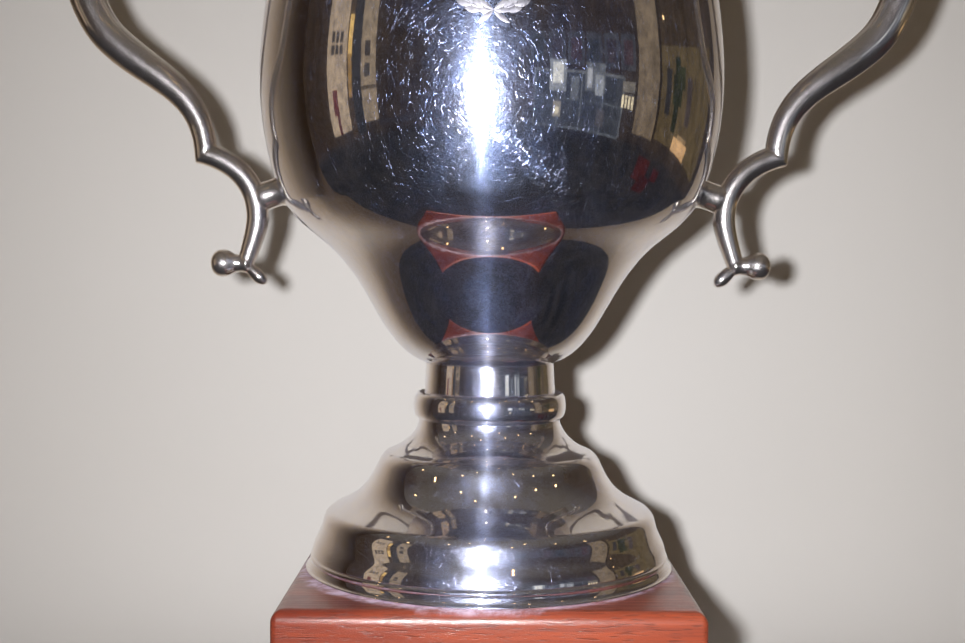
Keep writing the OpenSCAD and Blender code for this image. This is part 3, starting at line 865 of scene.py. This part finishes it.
def make_stage():
    floor_paper, g = paper("floor_paper", (0.56, 0.50, 0.42))
    shader = next(n for n in g.nodes if n.type == "BSDF_PRINCIPLED")
    g.set(shader.inputs["Emission Color"], (0.60, 0.575, 0.555, 1))
    # keeps the floor from going dark in side and back views, without throwing light on the cup
    seen = g.add("ShaderNodeLightPath").outputs["Is Camera Ray"]
    g.set(shader.inputs["Emission Strength"], g.math("MULTIPLY", seen, 0.45))
    s = 1.3
    corners = [(-s, -s, 0), (s, -s, 0), (s, s, 0), (-s, s, 0)]
    floor = stage_mesh("floor", corners, [(0, 1, 2, 3)], floor_paper)
    floor.visible_glossy = False
    floor.visible_shadow = False
    wall_paper, _ = paper("wall_paper", (0.66, 0.63, 0.61))
    left, right, top, sweep = -1.5, 0.46, 1.1, 0.09
    profile = [(p.x, p.y) for p in arc((WALL_Y - sweep, sweep), sweep, -64, 0, 12)]
    profile += [(WALL_Y, top)]
    points = [(x, y, z) for y, z in profile for x in (left, right)]
    faces = [(2 * i, 2 * i + 1, 2 * i + 3, 2 * i + 2) for i in range(len(profile) - 1)]
    backdrop = stage_mesh("backdrop", points, faces, wall_paper)
    backdrop.data.shade_smooth()
    backdrop.visible_glossy = False
    # the silver sees a wall of its own, whose colour carries painted shade: it darkens and warms towards
    # its ends and darkens towards the bottom, as the flash's light would fall off there
    painted_light_paper, g = paper("painted_light_paper", (0.63, 0.60, 0.58))
    axis = g.add("ShaderNodeSeparateXYZ")
    g.set(axis.inputs[0], g.place())
    aside = g.math("ABSOLUTE", axis.outputs[0])
    # the end on the right is nearer, so the painted shade sets in sooner there
    ends = g.math("ADD", aside, g.ramp(axis.outputs[0], 0.15, 0.3, 0.0, 0.12))
    # painted shade: the wall's colour goes darker towards its ends and towards its bottom
    painted_falloff = g.math(
        "MULTIPLY", g.ramp(ends, 0.18, 0.47, 1.0, 0.44, smooth=False),
        g.ramp(axis.outputs[2], -0.40, 0.0, 0.25, 1.0, smooth=False),
    )
    shader = next(n for n in g.nodes if n.type == "BSDF_PRINCIPLED")
    plain = shader.inputs["Base Color"].links[0].from_socket
    # painted light: the colour warms towards the ends, standing in for warmer light away from the flash
    warm = g.mix(g.ramp(aside, 0.10, 0.40), plain, (0.69, 0.555, 0.43, 1))
    g.set(shader.inputs["Base Color"], g.mix(painted_falloff, (0, 0, 0, 1), warm))
    # painted glow: below the floor line the wall gives off warm light of its own, strongest at the bottom
    g.set(shader.inputs["Emission Color"], (1.0, 0.74, 0.57, 1))
    g.set(shader.inputs["Emission Strength"], g.ramp(axis.outputs[2], -0.25, 0.02, 0.070, 0.0))
    # it stops short on the right, where the silver looks past it, and reaches below the floor
    right, low = 0.34, -0.6
    corners = [(left, WALL_Y, low), (right, WALL_Y, low), (right, WALL_Y, top), (left, WALL_Y, top)]
    mirrored = stage_mesh("mirrored_wall", corners, [(0, 1, 2, 3)], painted_light_paper)
    mirrored.visible_camera = False
    mirrored.visible_diffuse = False
    mirrored.visible_shadow = False
    for sheet in (wall_paper, painted_light_paper):
        one_sided(sheet)


def area_light(name, place, target, size, power, colour, glossy=True, spread=180):
    data = bpy.data.lights.new(name, "AREA")
    data.spread = math.radians(spread)
    data.shape = "DISK"
    data.size = size
    data.energy = power
    data.color = colour
    lamp = bpy.data.objects.new(name, data)
    lamp.location = place
    lamp.rotation_euler = (Vector(target) - Vector(place)).to_track_quat("-Z", "Y").to_euler()
    lamp.visible_camera = False
    lamp.visible_glossy = glossy
    bpy.context.scene.collection.objects.link(lamp)


def make_lights():
    eye = camera.matrix_world.translation
    middle = (0, 0, BOARD_TOP + 0.12)
    aim = (0.06, WALL_Y, BOARD_TOP + 0.03)
    bulb = eye + Vector((-0.046, 0.01, 0.010))
    area_light("flash", bulb, aim, 0.026, 3.1, (0.97, 0.985, 1.0), spread=125)
    area_light("key", (-0.5, -1.3, 1.3), middle, 1.2, 0.6, (1.0, 0.82, 0.60), glossy=False)
    area_light("back_fill", (0.3, 1.6, 0.9), middle, 1.4, 3, (1.0, 0.92, 0.82), glossy=False)


# The room that the silver mirrors: plain panels at a distance, placed by azimuth (0 ahead of the
# cup's front, + towards +X) and elevation in degrees, each with a colour in linear light.
LAMP_SIZE = 1.6
LAMPS = ((-62, 30), (-34, 44), (-20, 58), (16, 34), (31, 50), (52, 38), (74, 30), (-88, 38))

ROOM = (
    # left: dark upright, cream wall with small frames, lamp glow, doorway, cream panel
    (-100, -83, -14, 30, (0.036, 0.024, 0.016)),
    (-83, -71, -12, 26, (0.45, 0.365, 0.285)),
    (-71, -68, -14, 26, (0.060, 0.042, 0.030)),
    (-68, -63, -14, 26, (0.026, 0.028, 0.036)),
    (-70.3, -68, 8, 18, (0.85, 0.58, 0.22)),
    (-70.2, -68.2, -3, 9, (0.34, 0.21, 0.075)),
    (-63, -55, -11, 26, (0.30, 0.245, 0.19)),
    *[
        (-80.5 + 2.6 * i, -78.6 + 2.6 * i, 9 + 3 * j, 11.4 + 3 * j, (0.04, 0.035, 0.03))
        for i in range(3) for j in (0, 1)
    ],
    (-61, -58, 8, 12, (0.050, 0.045, 0.045)),
    (-61, -58, 2, 6, (0.060, 0.055, 0.055)),
    (-63, -55, -1.5, -0.5, (0.09, 0.07, 0.05)),
    (-80, -77, -7, 0, (0.13, 0.025, 0.026)),
    (-78.5, -77, -12, -6, (0.08, 0.016, 0.02)),
    (-55, -20, -13, -11, (0.030, 0.028, 0.038)),
    # a row of framed panes over a long glazed case
    *[(16.5 + 9 * i, 24.5 + 9 * i, 4.5, 14, (0.055, 0.060, 0.080)) for i in range(6)],
    *[(18 + 9 * i, 23 + 9 * i, 6, 12.5, (0.035 + 0.012 * (i % 3), 0.040, 0.052)) for i in range(6)],
    (19, 63, -15, 2.5, (0.050, 0.058, 0.078)),
    *[(19 + 11 * i, 19.7 + 11 * i, -15, 2.5, (0.13, 0.15, 0.19)) for i in range(5)],
    (19, 63, 2, 2.8, (0.16, 0.18, 0.22)),
    (19, 63, -6.4, -6, (0.10, 0.12, 0.15)),
    (19, 63, -15.4, -14.6, (0.11, 0.13, 0.17)),
    (26, 34, -4, 6, (0.30, 0.34, 0.42)),
    (27.5, 32.5, -1.5, 5, (0.80, 0.84, 0.90)),
    (28, 32, -12, -7, (0.34, 0.33, 0.32)),
    (29, 31, -11, -9, (0.85, 0.80, 0.66)),
    (36, 40, -6, 1, (0.13, 0.15, 0.19)),
    (43, 53, -3, 5.5, (0.16, 0.18, 0.22)),
    (44, 46.5, -2, 4, (0.46, 0.50, 0.60)),
    (48, 52, -4, 2, (0.34, 0.38, 0.46)),
    (50, 54, -13, -8, (0.10, 0.10, 0.12)),
    (62.5, 69.5, -1.5, 1.5, (0.20, 0.19, 0.18)),
    *[(62.5 + 1.8 * i, 63.7 + 1.8 * i, -6, -2.5, (0.95, 0.86, 0.66)) for i in range(4)],
    # right: olive wall with pictures, a plant, a shade, dark red chairs
    (71, 84, -12, 22, (0.195, 0.155, 0.115)),
    (85, 128, -11, 12, (0.105, 0.080, 0.045)),
    (85, 128, 12, 26, (0.050, 0.036, 0.026)),
    (84, 85.5, -12, 22, (0.020, 0.014, 0.010)),
    (89, 92.5, -4, 7, (0.028, 0.028, 0.034)),
    (94, 101, -1, 6, (0.026, 0.032, 0.020)),
    (95.5, 99, -7, 10, (0.020, 0.026, 0.016)),
    (97, 103, 3, 8, (0.034, 0.040, 0.024)),
    (105, 109, -4, 6, (0.055, 0.045, 0.050)),
    (99, 112, -11, -7.5, (0.75, 0.48, 0.26)),
    (102, 110, -7.6, -6.6, (0.34, 0.24, 0.14)),
    (79, 88, -25, -17, (0.055, 0.012, 0.013)),
    (84, 93, -30, -22, (0.040, 0.010, 0.011)),
    (92, 97, -22, -18, (0.060, 0.012, 0.014)),
    # ceiling lamps
    (88, 88.7, 17, 17.7, (5.0, 3.4, 1.8)),
    *[(a, a + LAMP_SIZE, e, e + LAMP_SIZE, (9.0, 6.2, 3.2)) for a, e in LAMPS],
)


def make_room():
    """One mesh of curved panels, seen only in mirrors."""
    points, faces, colours = [], [], []
    middle = BOARD_TOP + 0.2
    facet = 3  # degrees
    for index, (a0, a1, e0, e1, colour) in enumerate(ROOM):
        # later panels stand a little nearer, ahead of the ones before
        distance = 4.0 - 0.02 * index
        count = max(2, int((a1 - a0) / facet))
        for i in range(count + 1):
            a = math.radians(a0 + (a1 - a0) * i / count)
            for e in (e0, e1):
                z = distance * math.tan(math.radians(e))
                points.append((distance * math.sin(a), -distance * math.cos(a), middle + z))
        first = len(points) - 2 * (count + 1)
        for i in range(count):
            p = first + 2 * i
            faces.append((p, p + 2, p + 3, p + 1))
            colours += [colour] * 4
    material, g = new_material("room_glow")
    tint = g.add("ShaderNodeAttribute", attribute_name="tint").outputs["Color"]
    blotch = g.ramp(g.noise(g.place(), 5, detail=6, roughness=0.7), 0.25, 0.75, 0.55, 1.45)
    glow = g.add("ShaderNodeEmission")
    g.set(glow.inputs["Color"], tint)
    g.set(glow.inputs["Strength"], blotch)
    out = g.add("ShaderNodeOutputMaterial")
    g.tree.links.new(glow.outputs[0], out.inputs[0])
    material.cycles.emission_sampling = "NONE"
    room = stage_mesh("room", points, faces, material)
    layer = room.data.color_attributes.new("tint", "FLOAT_COLOR", "CORNER")
    for item, colour in zip(layer.data, colours):
        item.color = (*colour, 1)
    room.visible_camera = False
    room.visible_diffuse = False
    room.visible_shadow = False


def make_world():
    """Plain pale behind the object, soft light on it, and a dim room ahead of it in the silver."""
    world = bpy.data.worlds.new("studio")
    bpy.context.scene.world = world
    world.use_nodes = True
    g = Graph(world.node_tree)
    way = g.add("ShaderNodeTexCoord").outputs["Generated"]
    axis = g.add("ShaderNodeSeparateXYZ")
    g.set(axis.inputs[0], way)
    z = axis.outputs[2]
    spots = g.noise(way, 9, detail=6, roughness=0.7)
    low = g.mix(g.ramp(spots, 0.3, 0.7), (0.013, 0.014, 0.018, 1), (0.034, 0.032, 0.035, 1))
    high = g.mix(g.ramp(spots, 0.3, 0.7), (0.020, 0.015, 0.014, 1), (0.050, 0.038, 0.032, 1))
    mirror = g.mix(g.ramp(z, -0.29, -0.24), low, high)
    mirror = g.mix(g.ramp(z, 0.35, 0.8), mirror, (0.10, 0.09, 0.08, 1))
    path = g.add("ShaderNodeLightPath").outputs
    soft = g.mix(path["Is Glossy Ray"], (0.046, 0.027, 0.006, 1), mirror)
    shown = g.mix(path["Is Camera Ray"], soft, (0.60, 0.57, 0.55, 1))
    back = g.add("ShaderNodeBackground")
    g.set(back.inputs[0], shown)
    out = g.add("ShaderNodeOutputWorld")
    g.tree.links.new(back.outputs[0], out.inputs[0])


# ---- build -------------------------------------------------------------

bowl_silver = silver("bowl_silver", haze=1.5, scratch=1.0, wiped=True, glow=(0.42, 0.53, 0.92))
foot_silver = silver(
    "foot_silver", haze=2.8, scratch=0.6, mottle=0.6, radius=0.07, glow=(0.62, 0.68, 1.0), shine=1.09,
)
handle_silver = silver("handle_silver", haze=4.2, dull=0.095, mottle=1.6, glow=(0.84, 0.78, 0.82))
plate_silver = silver("plate_silver", haze=1.5, dull=0.05, glow=(0.6, 0.6, 0.8))
woods = {"X": mahogany("mahogany_x", "X"), "Y": mahogany("mahogany_y", "Y")}
board_wood = mahogany("mahogany_board", "X", residue=True)
steel = plain_metal("zinc_steel", (0.55, 0.55, 0.56), 0.3)

make_bowl(bowl_silver)
make_stem(foot_silver)
make_handle("left", -1, handle_silver)
make_handle("right", 1, handle_silver)
make_board(board_wood)
make_sides(woods)
make_nameplate(plate_silver)
make_wreath(engraved("engraved_silver"))

CAD_MATERIALS = {
    "baize_strips": baize("green_baize"),
    "corner_blocks": sawn_wood("block_wood"),
    "block_screws": plain_metal("brass", (0.75, 0.55, 0.25), 0.3),
    "nameplate_pins": plate_silver,
    "bowl_boss": plain_metal("boss_metal", (0.68, 0.62, 0.5), 0.35),
    "tie_rod": steel,
    "stem_washer": steel,
    "stem_nut": steel,
    "plinth_washer": steel,
    "retaining_nut": steel,
}
for node, material in CAD_MATERIALS.items():
    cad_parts[node].data.materials.clear()
    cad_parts[node].data.materials.append(material)

make_stage()
make_lights()
make_room()
make_world()

scene = bpy.context.scene
scene.view_settings.view_transform = "Standard"
scene.view_settings.look = "None"
